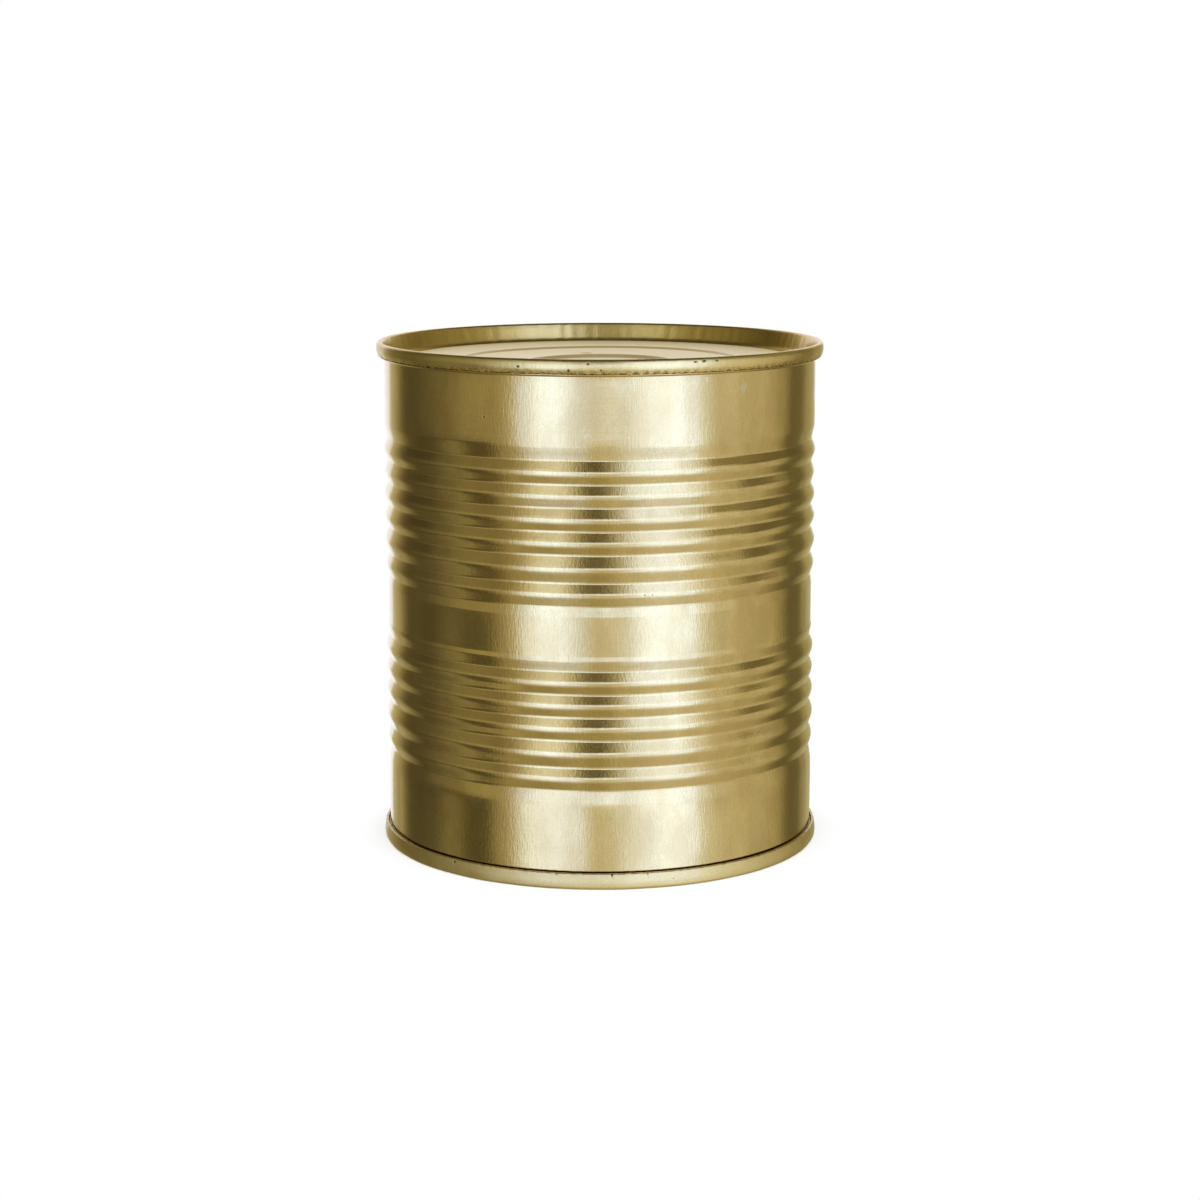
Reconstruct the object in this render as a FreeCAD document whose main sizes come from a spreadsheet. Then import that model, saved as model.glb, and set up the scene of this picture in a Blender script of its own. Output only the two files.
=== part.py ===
import FreeCAD, Part
import os

import Sketcher

# A sealed, ribbed steel food can, standing upright: +Z is up and the origin is the centre of its base.
# It is three solids of revolution that meet face to face: the ribbed body, solid as a full can is,
# and the two ends, each a recessed panel with the rolled seam that clamps it to the body.
# All lengths are in millimetres. Depths are measured from the rim of an end, into the can.

SIZES = {
    # body
    "total_height": 116.3,
    "body_radius": 49.65,       # the plain bands at the top and the base
    "wall_thickness": 0.2,
    "waist_inset": 0.35,        # how much smaller the plain band between the ribs is
    # ribs, counted between grooves
    "upper_ribs": 6,
    "lower_ribs": 5,
    "top_band": 21.9,           # rim to the first groove
    "base_band": 21.95,         # rim to the last groove
    "waist_band": 11.0,         # last groove of the upper ribs to the faint rib above the lower ones
    "faint_rib": 3.35,          # faint rib to the first groove below it
    "wide_rib_extra": 1.0,      # the last rib but one of each group is wider by this
    "rib_rise": 0.38,           # crest above the plain band
    "groove_depth": 0.62,       # groove below the plain band
    "upper_second_less": 0.26,  # how much lower the crests of four of the ribs are
    "upper_last_less": 0.2,
    "lower_second_less": 0.1,
    "lower_last_less": 0.15,
    "faint_rise": 0.15,         # faint rib above the waist
    "faint_width": 1.0,         # start of the faint rib to its crest
    "lead_in": 3.1,             # length of the slope from the top band into the first groove
    "lead_out": 2.2,            # length of the slope from the upper ribs to the waist
    "base_lead_out": 3.2,       # length of the slope from the lower ribs to the base band
    "crest_round": 2.0,
    "groove_round": 1.0,
    "bend_round": 0.8,
    "neck_round": 0.3,
    # seams
    "top_seam_stand": 1.85,     # seam beyond the body
    "base_seam_stand": 1.35,
    "top_seam_height": 3.3,
    "base_seam_height": 3.7,
    "seam_thickness": 1.45,
    "seam_belly": 1.8,          # depth where the seam is widest
    "shoulder_depth": 0.5,      # the seam bends in here, between its belly and its rim
    "shoulder_inset": 0.12,
    "crest_inset": 0.5,         # how far the seam draws in from its belly to its rim
    "top_lip_inset": 0.45,      # how far it draws in from its belly to its other edge
    "base_lip_inset": 0.3,
    "crest_outer_round": 0.7,
    "crest_inner_round": 0.4,
    "shoulder_round": 0.8,
    "belly_round": 3.0,
    "seam_foot_round": 0.1,
    "neck_clearance": 0.25,     # the body widens to meet the top seam, this short of the seam's lip
    "neck_length": 0.4,
    "crevice_width": 0.45,      # between the base seam and the body
    "crevice_depth": 1.0,
    # panels of the ends
    "chuck_taper": 1.35,        # how far the wall inside the seam closes in on its way down
    "countersink_width": 2.9,
    "countersink_depth": 0.7,   # below the outer panel
    "countersink_rise": 0.5,    # width of its sloped inner side
    "countersink_round": 1.9,   # where the wall inside the seam runs out into it
    "panel_drop": 4.0,          # rim to the edge of the outer panel
    "outer_step_radius": 32.0,
    "inner_step_radius": 17.0,
    "outer_step_drop": 0.4,
    "inner_step_drop": 0.7,
    "step_width": 0.8,
    "step_round": 0.3,
    "panel_dish": 0.7,          # the vacuum inside draws the middle of a panel in by this
    "end_thickness": 0.6,       # below the lowest panel
    # small boss on the top end
    "pip_clearance": 2.3,       # its centre beyond the inner step
    "pip_side": -3.2,           # its centre to the left of the middle
    "pip_radius": 1.8,
    "pip_height": 0.35,
    "pip_root": 0.3,            # how far it reaches into the panel
    "pip_round": 0.25,
}

document = FreeCAD.newDocument("ribbed_can")
sheet = document.addObject("Spreadsheet::Sheet", "sizes")
for row, (alias, value) in enumerate(SIZES.items(), start=1):
    sheet.set(f"A{row}", alias)
    sheet.set(f"B{row}", str(value))
    sheet.setAlias(f"B{row}", alias)
document.recompute()

# Sizes that follow from the ones above, written as expressions on the sheet.
RIB_PITCH = ("(sizes.total_height - sizes.top_band - sizes.base_band - sizes.waist_band - sizes.faint_rib"
             " - 2 * sizes.wide_rib_extra) / (sizes.upper_ribs + sizes.lower_ribs)")
CREST_RADIUS = "sizes.body_radius + sizes.rib_rise"
GROOVE_RADIUS = "sizes.body_radius - sizes.groove_depth"
WAIST_RADIUS = "sizes.body_radius - sizes.waist_inset"
PLUG_RADIUS = "sizes.body_radius - sizes.wall_thickness"
LEDGE_DEPTH = "sizes.panel_drop + sizes.outer_step_drop"
CENTRE_DEPTH = f"{LEDGE_DEPTH} + sizes.inner_step_drop + sizes.panel_dish"
PLUG_DEPTH = f"{CENTRE_DEPTH} + sizes.end_thickness"
COUNTERSINK_DEPTH = "sizes.panel_drop + sizes.countersink_depth"
NECK_RADIUS = "sizes.body_radius + sizes.top_seam_stand - sizes.top_lip_inset - sizes.neck_clearance"
CREVICE_WALL = "sizes.body_radius + sizes.crevice_width"
CREVICE_FLOOR = "sizes.base_seam_height - sizes.crevice_depth"


def below_top(depth):
    """Height of what lies at this depth under the upper rim."""
    return f"sizes.total_height - ({depth})"


def above_base(depth):
    """Height of what lies at this depth over the lower rim."""
    return depth


def value_of(expression):
    """The number that an expression on the sheet gives."""
    return float(sheet.evalExpression(expression))


def new_body(name):
    body = document.addObject("PartDesign::Body", name)
    body.Label = name
    return body


def origin_plane(body, role):
    return next(part for part in body.Origin.OriginFeatures if part.Role == role)


def new_sketch(body, name, role):
    sketch = body.newObject("Sketcher::SketchObject", name)
    sketch.AttachmentSupport = [(origin_plane(body, role), "")]
    sketch.MapMode = "FlatFace"
    return sketch


def bind_point(sketch, geometry, position, across, up):
    """Holds one point of a sketch at two expressions, or on an axis where one of them is nought."""
    for kind, axis, expression in (("DistanceX", -2, across), ("DistanceY", -1, up)):
        if expression == "0":
            sketch.addConstraint(Sketcher.Constraint("PointOnObject", geometry, position, axis))
            continue
        value = value_of(expression)
        index = sketch.addConstraint(Sketcher.Constraint(kind, -1, 1, geometry, position, value))
        sketch.setExpression(f"Constraints[{index}]", expression)


def revolve_outline(body, name, corners):
    """Turns a closed outline of (radius, height) expressions about Z."""
    sketch = new_sketch(body, f"{name}_outline", "XZ_Plane")
    points = [FreeCAD.Vector(value_of(radius), value_of(height), 0) for radius, height in corners]
    count = len(points)
    sketch.addGeometry([Part.LineSegment(points[i], points[(i + 1) % count]) for i in range(count)], False)
    sketch.addConstraint([Sketcher.Constraint("Coincident", i, 2, (i + 1) % count, 1) for i in range(count)])
    for index, (radius, height) in enumerate(corners):
        bind_point(sketch, index, 1, radius, height)
    turned = body.newObject("PartDesign::Revolution", f"{name}_turned")
    turned.Profile = (sketch, [""])
    turned.ReferenceAxis = (sketch, ["V_Axis"])
    turned.Angle = 360
    document.recompute()
    return turned


def round_corners(body, base, name, corners, radius):
    """Rounds the edges that the named corners of an outline left on the turned solid."""
    wanted = [(value_of(across), value_of(up)) for across, up in corners]
    edges = []
    for number, edge in enumerate(base.Shape.Edges, start=1):
        if not isinstance(edge.Curve, Part.Circle):
            continue
        place = (edge.Curve.Radius, edge.Curve.Center.z)
        if any(abs(place[0] - across) + abs(place[1] - up) < 0.001 for across, up in wanted):
            edges.append(f"Edge{number}")
    if len(edges) != len(wanted):
        raise ValueError(f"{name}: found {len(edges)} of {len(wanted)} edges to round")
    fillet = body.newObject("PartDesign::Fillet", name)
    fillet.Base = (base, edges)
    fillet.setExpression("Radius", radius)
    document.recompute()
    return fillet


def dished(depth, radius, edge):
    """A depth on a panel, with the dish that grows evenly from its edge to its middle."""
    return f"{depth} + sizes.panel_dish * (1 - ({radius}) / ({edge}))"


def seam_radius_of(side):
    return f"sizes.body_radius + sizes.{side}_seam_stand"


def panel_edge_of(side):
    """Radius where the countersink of one end meets its panel."""
    return (f"{seam_radius_of(side)} - sizes.seam_thickness - sizes.chuck_taper"
            " - sizes.countersink_width - sizes.countersink_rise")


def rib_corners(first_groove, ribs, lowered):
    """Grooves and crests of one group of ribs, from its first groove down.

    lowered names the size that is taken off the crest of some of the ribs.
    """
    corners = [(GROOVE_RADIUS, first_groove)]
    height = first_groove
    for rib in range(1, ribs + 1):
        is_wide = rib == ribs - 1
        width = f"{RIB_PITCH} + sizes.wide_rib_extra" if is_wide else RIB_PITCH
        crest = f"{CREST_RADIUS} - sizes.{lowered[rib]}" if rib in lowered else CREST_RADIUS
        corners.append((crest, f"{height} - ({width}) / 2"))
        height = f"{height} - ({width})"
        corners.append((GROOVE_RADIUS, height))
    return corners


def make_body():
    """The wall with its two groups of ribs, and all that it holds, between the ends."""
    upper_count = int(value_of("sizes.upper_ribs"))
    lower_count = int(value_of("sizes.lower_ribs"))
    upper_lowered = {2: "upper_second_less", upper_count: "upper_last_less"}
    lower_lowered = {2: "lower_second_less", lower_count: "lower_last_less"}
    upper = rib_corners(below_top("sizes.top_band"), upper_count, upper_lowered)
    upper_last = upper[-1][1]
    faint_start = f"{upper_last} - sizes.waist_band"
    lower = rib_corners(f"{faint_start} - sizes.faint_rib", lower_count, lower_lowered)
    lower_last = lower[-1][1]
    neck_top = below_top("sizes.top_seam_height")
    neck_foot = below_top("sizes.top_seam_height + sizes.neck_length")

    neck = [
        ("0", below_top(PLUG_DEPTH)),
        (PLUG_RADIUS, below_top(PLUG_DEPTH)),
        (PLUG_RADIUS, neck_top),
        (NECK_RADIUS, neck_top),
        ("sizes.body_radius", neck_foot),
    ]
    lead_in = [("sizes.body_radius", f"{upper[0][1]} + sizes.lead_in")]
    waist = [
        (WAIST_RADIUS, f"{upper_last} - sizes.lead_out"),
        (WAIST_RADIUS, faint_start),
        (f"{WAIST_RADIUS} + sizes.faint_rise", f"{faint_start} - sizes.faint_width"),
    ]
    foot = [
        ("sizes.body_radius", f"{lower_last} - sizes.base_lead_out"),
        ("sizes.body_radius", CREVICE_FLOOR),
        (PLUG_RADIUS, CREVICE_FLOOR),
        (PLUG_RADIUS, above_base(PLUG_DEPTH)),
        ("0", above_base(PLUG_DEPTH)),
    ]
    ribs = upper + lower
    body = new_body("can_body")
    shape = revolve_outline(body, "can_body", neck + lead_in + upper + waist + lower + foot)
    grooves = [corner for corner in ribs if corner[0] == GROOVE_RADIUS]
    crests = [corner for corner in ribs if corner[0] != GROOVE_RADIUS]
    bends = [lead_in[0], *waist, foot[0]]
    shape = round_corners(body, shape, "groove_rounds", grooves, "sizes.groove_round")
    shape = round_corners(body, shape, "crest_rounds", crests, "sizes.crest_round")
    shape = round_corners(body, shape, "bend_rounds", bends, "sizes.bend_round")
    round_corners(body, shape, "neck_round", neck[-1:], "sizes.neck_round")
    return body


def make_end(name, height_at, side, seam_root):
    """One end: a flat plug inside the body, the rolled seam round it and the stepped panel.

    height_at turns a depth into a height, side is the start of the names of this end's own sizes,
    and seam_root holds the corners where the seam meets the body.
    """
    seam_radius = seam_radius_of(side)
    chuck_radius = f"{seam_radius} - sizes.seam_thickness"
    groove_outside = f"{chuck_radius} - sizes.chuck_taper"
    groove_inside = f"{groove_outside} - sizes.countersink_width"
    panel_edge = panel_edge_of(side)
    panel_depth = "sizes.panel_drop"

    lip = (f"{seam_radius} - sizes.{side}_lip_inset", height_at(f"sizes.{side}_seam_height"))
    belly = (seam_radius, height_at("sizes.seam_belly"))
    shoulder = (f"{seam_radius} - sizes.shoulder_inset", height_at("sizes.shoulder_depth"))
    crest_outside = (f"{seam_radius} - sizes.crest_inset", height_at("0"))
    crest_inside = (chuck_radius, height_at("0"))
    chuck_foot = (groove_outside, height_at(COUNTERSINK_DEPTH))
    panel_rim = [
        (groove_inside, height_at(COUNTERSINK_DEPTH)),
        (panel_edge, height_at(panel_depth)),
    ]
    steps = []
    for step in ("outer_step", "inner_step"):
        outside = f"sizes.{step}_radius"
        inside = f"{outside} - sizes.step_width"
        steps.append((outside, height_at(dished(panel_depth, outside, panel_edge))))
        panel_depth = f"{panel_depth} + sizes.{step}_drop"
        steps.append((inside, height_at(dished(panel_depth, inside, panel_edge))))
    plug = [
        ("0", height_at(CENTRE_DEPTH)),
        ("0", height_at(PLUG_DEPTH)),
        (PLUG_RADIUS, height_at(PLUG_DEPTH)),
    ]
    body = new_body(name)
    seam = [lip, belly, shoulder, crest_outside, crest_inside]
    shape = revolve_outline(body, name, plug + seam_root + seam + [chuck_foot] + panel_rim + steps)
    for part, corners, radius in (("belly", [belly], "belly_round"),
                                  ("shoulder", [shoulder], "shoulder_round"),
                                  ("crest_outside", [crest_outside], "crest_outer_round"),
                                  ("crest_inside", [crest_inside], "crest_inner_round"),
                                  ("chuck_foot", [chuck_foot], "countersink_round"),
                                  ("panel", panel_rim + steps, "step_round")):
        shape = round_corners(body, shape, f"{name}_{part}", corners, f"sizes.{radius}")
    return body, shape, lip


def add_pip(body):
    """The small round boss beside the inner step of the top end."""
    reach = "(sizes.inner_step_radius + sizes.pip_clearance)"
    behind = f"sqrt({reach} * {reach} - sizes.pip_side * sizes.pip_side)"
    panel = below_top(dished(LEDGE_DEPTH, reach, panel_edge_of("top")))
    sketch = new_sketch(body, "pip_outline", "XY_Plane")
    sketch.setExpression("AttachmentOffset.Base.z", f"{panel} - sizes.pip_root")
    centre = FreeCAD.Vector(value_of("sizes.pip_side"), value_of(behind), 0)
    up = FreeCAD.Vector(0, 0, 1)
    circle = sketch.addGeometry(Part.Circle(centre, up, value_of("sizes.pip_radius")), False)
    bind_point(sketch, circle, 3, "sizes.pip_side", behind)
    radius = sketch.addConstraint(Sketcher.Constraint("Radius", circle, value_of("sizes.pip_radius")))
    sketch.setExpression(f"Constraints[{radius}]", "sizes.pip_radius")
    pad = body.newObject("PartDesign::Pad", "pip")
    pad.Profile = (sketch, [""])
    pad.setExpression("Length", "sizes.pip_root + sizes.pip_height")
    document.recompute()
    rim = ("sizes.pip_radius", f"{panel} + sizes.pip_height")
    round_corners(body, pad, "pip_rounds", [rim], "sizes.pip_round")


can_body = make_body()
top_root = [(PLUG_RADIUS, below_top("sizes.top_seam_height"))]
top_end, top_shape, top_foot = make_end("top_end", below_top, "top", top_root)
round_corners(top_end, top_shape, "top_seam_foot", [top_foot], "sizes.seam_foot_round")
add_pip(top_end)
base_root = [
    (PLUG_RADIUS, CREVICE_FLOOR),
    (CREVICE_WALL, CREVICE_FLOOR),
    (CREVICE_WALL, "sizes.base_seam_height"),
]
bottom_end = make_end("bottom_end", above_base, "base", base_root)[0]

document.recompute()
for item in document.Objects:
    if {"Invalid", "Error"} & set(item.State):
        raise RuntimeError(f"{item.Name} failed: {item.State}")
os.makedirs("parts", exist_ok=True)
for body in (can_body, top_end, bottom_end):
    if body.Shape.isNull() or not body.Shape.isValid():
        raise RuntimeError(f"{body.Label} has no valid shape")
    body.Shape.exportStep(f"parts/{body.Label}.step")
    box = body.Shape.BoundBox
    print(body.Label, len(body.Shape.Solids), round(body.Shape.Volume), [round(v, 3) for v in
          (box.XMin, box.XMax, box.YMin, box.YMax, box.ZMin, box.ZMax)])
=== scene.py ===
import math

import bpy
import numpy as np
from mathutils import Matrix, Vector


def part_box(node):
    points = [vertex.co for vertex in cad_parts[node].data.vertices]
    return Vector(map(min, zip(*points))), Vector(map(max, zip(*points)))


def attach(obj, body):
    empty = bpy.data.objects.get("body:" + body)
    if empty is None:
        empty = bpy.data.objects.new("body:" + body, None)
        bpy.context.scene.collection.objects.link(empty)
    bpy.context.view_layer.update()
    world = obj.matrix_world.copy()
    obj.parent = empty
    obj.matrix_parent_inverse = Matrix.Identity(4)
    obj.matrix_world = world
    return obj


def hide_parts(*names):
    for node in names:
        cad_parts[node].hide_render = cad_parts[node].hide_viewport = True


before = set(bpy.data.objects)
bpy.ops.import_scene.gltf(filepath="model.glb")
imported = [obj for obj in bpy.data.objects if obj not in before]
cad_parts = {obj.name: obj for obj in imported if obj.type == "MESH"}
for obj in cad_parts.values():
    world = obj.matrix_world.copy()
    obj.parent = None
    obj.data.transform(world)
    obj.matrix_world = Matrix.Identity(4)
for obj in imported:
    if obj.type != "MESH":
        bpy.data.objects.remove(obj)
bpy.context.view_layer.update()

# The looks of a sealed, ribbed steel food can in gold lacquer. Sizes here are in millimetres and
# angles in degrees, unless a name says otherwise. Angle 0 on the can faces the viewer (-Y) and
# grows towards +X; the weld of the wall is at 180, at the back.

MM = 0.001

# ---------------------------------------------------------------- sizes, from the frame

END_LOW, END_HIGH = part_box("top_end")
BASE_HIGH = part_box("bottom_end")[1]
BODY_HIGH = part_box("can_body")[1]

NECK_FLARE = 1.15
BASE_STAND = 1.35
HEIGHT = END_HIGH.z / MM
TOP_SEAM_RADIUS = END_HIGH.x / MM
BODY_RADIUS = BODY_HIGH.x / MM - NECK_FLARE
BASE_SEAM_RADIUS = min(BASE_HIGH.x / MM, BODY_RADIUS + BASE_STAND)
TOP_SEAM_HEIGHT = (END_HIGH.z - BODY_HIGH.z) / MM
PLUG_DEPTH = (END_HIGH.z - END_LOW.z) / MM

WALL = 0.2
PLUG_RADIUS = BODY_RADIUS - WALL
NECK_LENGTH = 0.4
NECK_ROUND = 0.3

# ribs
UPPER_RIBS = 6
LOWER_RIBS = 5
TOP_BAND = 21.9
BASE_BAND = 21.95
WAIST_BAND = 11.0
FAINT_RIB = 3.35
WIDE_RIB_EXTRA = 1.0
RIBBED_HEIGHT = HEIGHT - TOP_BAND - WAIST_BAND - FAINT_RIB - BASE_BAND
RIB_PITCH = (RIBBED_HEIGHT - 2 * WIDE_RIB_EXTRA) / (UPPER_RIBS + LOWER_RIBS)
RIB_RISE = 0.38
GROOVE_DEPTH = 0.62
WAIST_INSET = 0.35
FAINT_RISE = 0.15
FAINT_WIDTH = 1.0
LEAD_IN = 3.1
LEAD_IN_ROUND = 4
LEAD_OUT = 2.2
LEAD_OUT_ROUND = 2
BASE_LEAD_OUT = 3.2
BASE_LEAD_ROUND = 18
FAINT_ROUND = 1.5
CREST_ROUND = 2.8
GROOVE_ROUND = 1.3
UPPER_SHALLOW = {2: 0.26, 6: 0.2}
LOWER_SHALLOW = {2: 0.1, 5: 0.15}

# seams and panels
BASE_SEAM_HEIGHT = 3.7
SEAM_THICKNESS = 1.45
CREST_INSET = 0.5
SHOULDER_INSET = 0.12
SHOULDER_DEPTH = 0.5
SEAM_BELLY = 1.8
TOP_LIP_INSET = 0.45
BASE_LIP_INSET = 0.3
CREVICE_WIDTH = 0.45
CREVICE_DEPTH = 1.0
CHUCK_TAPER = 1.35
COUNTERSINK_WIDTH = 2.9
COUNTERSINK_DEPTH = 0.7
COUNTERSINK_RISE = 0.5
PANEL_DROP = 4.0
OUTER_STEP = 32.0
INNER_STEP = 17.0
COUNTERSINK_ROUND = 1.9
OUTER_STEP_DROP = 0.4
INNER_STEP_DROP = 0.7
STEP_WIDTH = 0.8
PANEL_DISH = 0.7
PIP_SIDE = -3.2
PIP_REACH = INNER_STEP + 2.3
PIP_RADIUS = 1.8
PIP_HEIGHT = 0.35
PANEL_MARGIN = 3.6

# ---------------------------------------------------------------- outlines


def rounded_outline(corners, arc_step=7.0, longest_run=1.6):
    """Points along a chain of (radius, height, rounding) corners, with each rounding as an arc."""
    points = [np.array(corners[0][:2], float)]
    for before, corner, after in zip(corners, corners[1:], corners[2:]):
        here = np.array(corner[:2], float)
        towards = np.array(before[:2], float) - here
        onwards = np.array(after[:2], float) - here
        reach = min(np.linalg.norm(towards), np.linalg.norm(onwards)) / 2
        towards /= np.linalg.norm(towards)
        onwards /= np.linalg.norm(onwards)
        opening = math.acos(np.clip(towards @ onwards, -1, 1))
        turn = math.pi - opening
        if corner[2] <= 0 or turn < 1e-4:
            points.append(here)
            continue
        tangent = min(corner[2] * math.tan(turn / 2), reach)
        radius = tangent / math.tan(turn / 2)
        middle = (towards + onwards) / np.linalg.norm(towards + onwards)
        centre = here + middle * radius / math.cos(turn / 2)
        start = here + towards * tangent - centre
        end = here + onwards * tangent - centre
        steps = max(2, math.ceil(math.degrees(turn) / arc_step))
        for step in range(steps + 1):
            share = step / steps
            spoke = math.sin((1 - share) * turn) * start + math.sin(share * turn) * end
            spoke = spoke / math.sin(turn)
            points.append(centre + spoke)
    points.append(np.array(corners[-1][:2], float))
    filled = [points[0]]
    for point in points[1:]:
        run = np.linalg.norm(point - filled[-1])
        if run < 1e-6:
            continue
        pieces = max(1, math.ceil(run / longest_run))
        last = filled[-1]
        filled += [last + (point - last) * (k + 1) / pieces for k in range(pieces)]
    return np.array(filled)


def rib_corners(first, ribs, shallow):
    """Grooves and crests of one group of ribs, from the first groove down."""
    corners = [(BODY_RADIUS - GROOVE_DEPTH, first, GROOVE_ROUND)]
    height = first
    for rib in range(1, ribs + 1):
        width = RIB_PITCH + (WIDE_RIB_EXTRA if rib == ribs - 1 else 0)
        rise = RIB_RISE - shallow.get(rib, 0)
        corners.append((BODY_RADIUS + rise, height - width / 2, CREST_ROUND))
        height -= width
        corners.append((BODY_RADIUS - GROOVE_DEPTH, height, GROOVE_ROUND))
    return corners


def body_outline():
    upper = rib_corners(HEIGHT - TOP_BAND, UPPER_RIBS, UPPER_SHALLOW)
    faint = upper[-1][1] - WAIST_BAND
    lower = rib_corners(faint - FAINT_RIB, LOWER_RIBS, LOWER_SHALLOW)
    neck = HEIGHT - TOP_SEAM_HEIGHT
    waist = BODY_RADIUS - WAIST_INSET
    crevice = BASE_SEAM_HEIGHT - CREVICE_DEPTH
    return rounded_outline([
        (0, HEIGHT - PLUG_DEPTH, 0),
        (PLUG_RADIUS, HEIGHT - PLUG_DEPTH, 0),
        (PLUG_RADIUS, neck, 0),
        (BODY_RADIUS + NECK_FLARE, neck, 0),
        (BODY_RADIUS, neck - NECK_LENGTH, NECK_ROUND),
        (BODY_RADIUS, upper[0][1] + LEAD_IN, LEAD_IN_ROUND),
        *upper,
        (waist, upper[-1][1] - LEAD_OUT, LEAD_OUT_ROUND),
        (waist, faint, FAINT_ROUND),
        (waist + FAINT_RISE, faint - FAINT_WIDTH, FAINT_ROUND),
        *lower,
        (BODY_RADIUS, lower[-1][1] - BASE_LEAD_OUT, BASE_LEAD_ROUND),
        (BODY_RADIUS, crevice, 0),
        (PLUG_RADIUS, crevice, 0),
        (PLUG_RADIUS, PLUG_DEPTH, 0),
        (0, PLUG_DEPTH, 0),
    ])


def end_outline(seam_radius, seam_height, lip_inset, root):
    """Outline of an end as (radius, depth from its rim), from under its middle round to its top."""
    chuck = seam_radius - SEAM_THICKNESS
    groove = PANEL_DROP + COUNTERSINK_DEPTH
    groove_out = chuck - CHUCK_TAPER
    groove_in = groove_out - COUNTERSINK_WIDTH
    ledge = PANEL_DROP + OUTER_STEP_DROP
    middle = ledge + INNER_STEP_DROP
    panel_edge = groove_in - COUNTERSINK_RISE

    def dished(radius, depth):
        """The vacuum in a shut can draws its ends in, more towards their middle."""
        return radius, depth + PANEL_DISH * (1 - radius / panel_edge)

    return rounded_outline([
        (0, PLUG_DEPTH, 0),
        (PLUG_RADIUS, PLUG_DEPTH, 0),
        *root,
        (seam_radius - lip_inset, seam_height, 0.25),
        (seam_radius, SEAM_BELLY, 3),
        (seam_radius - SHOULDER_INSET, SHOULDER_DEPTH, 1.5),
        (seam_radius - CREST_INSET, 0, 0.8),
        (chuck, 0, 0.6),
        (groove_out, groove, COUNTERSINK_ROUND),
        (groove_in, groove, 0.5),
        (panel_edge, PANEL_DROP, 0.5),
        (*dished(OUTER_STEP, PANEL_DROP), 0.5),
        (*dished(OUTER_STEP - STEP_WIDTH, ledge), 0.5),
        (*dished(INNER_STEP, ledge), 0.5),
        (*dished(INNER_STEP - STEP_WIDTH, middle), 0.5),
        (*dished(0, middle), 0),
    ], arc_step=12, longest_run=1.5)


# ---------------------------------------------------------------- meshes


def finer(outline, low, high, run):
    """Splits the stretches of an outline that lie between two radii into runs no longer than this."""
    points = [outline[0]]
    for point in outline[1:]:
        last = points[-1]
        inside = min(last[0], point[0]) > low and max(last[0], point[0]) < high
        pieces = math.ceil(np.linalg.norm(point - last) / run) if inside else 1
        points += [last + (point - last) * (k + 1) / pieces for k in range(pieces)]
    return np.array(points)


def spread_angles(segments, places, width, extra):
    """Even angles round the can, with more of them close to some places, all in degrees."""
    angles = [np.linspace(-180, 180, segments, endpoint=False)]
    angles += [place + np.linspace(-width, width, extra) for place in places]
    angles = (np.concatenate(angles) + 180) % 360 - 180
    return np.radians(np.unique(angles.round(4)))


def lathe(name, outline, turn, shape=None):
    """A closed turned mesh. shape may move its points: it takes and returns angle, radius and height."""
    inner = outline[1:-1]
    segments = len(turn)
    angle = np.repeat(turn[None, :], len(inner), 0)
    radius = np.repeat(inner[:, :1], segments, 1)
    height = np.repeat(inner[:, 1:], segments, 1)
    if shape:
        angle, radius, height = shape(angle, radius, height)
    rings = np.stack([radius * np.sin(angle), -radius * np.cos(angle), height], -1).reshape(-1, 3)
    poles = [(0, 0, outline[0][1]), (0, 0, outline[-1][1])]
    points = np.vstack([rings, poles]) * MM
    first_pole, last_pole = len(rings), len(rings) + 1
    faces = []
    for row in range(len(inner) - 1):
        a, b = row * segments, (row + 1) * segments
        for k in range(segments):
            onward = (k + 1) % segments
            faces.append((a + k, b + k, b + onward, a + onward))
    end = (len(inner) - 1) * segments
    faces += [(first_pole, k, (k + 1) % segments) for k in range(segments)]
    faces += [(last_pole, end + (k + 1) % segments, end + k) for k in range(segments)]
    mesh = bpy.data.meshes.new(name)
    mesh.from_pydata([tuple(p) for p in points], [], faces)
    mesh.update()
    mesh.shade_smooth()
    piece = bpy.data.objects.new(name, mesh)
    bpy.context.scene.collection.objects.link(piece)
    return piece


# ---------------------------------------------------------------- materials


class Nodes:
    """A short way to build a node tree."""

    def __init__(self, tree):
        self.tree = tree
        tree.nodes.clear()

    def add(self, kind, inputs=None, **settings):
        node = self.tree.nodes.new("ShaderNode" + kind)
        for key, value in settings.items():
            setattr(node, key, value)
        for key, value in (inputs or {}).items():
            if isinstance(value, bpy.types.NodeSocket):
                self.tree.links.new(value, node.inputs[key])
            else:
                node.inputs[key].default_value = value
        return node

    def math(self, operation, *values, clamp=False):
        return self.add("Math", dict(enumerate(values)), operation=operation, use_clamp=clamp).outputs[0]

    def ramp(self, value, low, high, to_low=0.0, to_high=1.0, smooth=True):
        kind = "SMOOTHSTEP" if smooth else "LINEAR"
        node = self.add("MapRange", {"Value": value, "From Min": low, "From Max": high, "To Min": to_low,
                                     "To Max": to_high}, interpolation_type=kind)
        return node.outputs["Result"]

    def mix(self, factor, first, second):
        node = self.add("Mix", data_type="RGBA")
        for socket, value in ((node.inputs[0], factor), (node.inputs[6], first), (node.inputs[7], second)):
            if isinstance(value, bpy.types.NodeSocket):
                self.tree.links.new(value, socket)
            else:
                socket.default_value = value
        return node.outputs[2]


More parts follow.
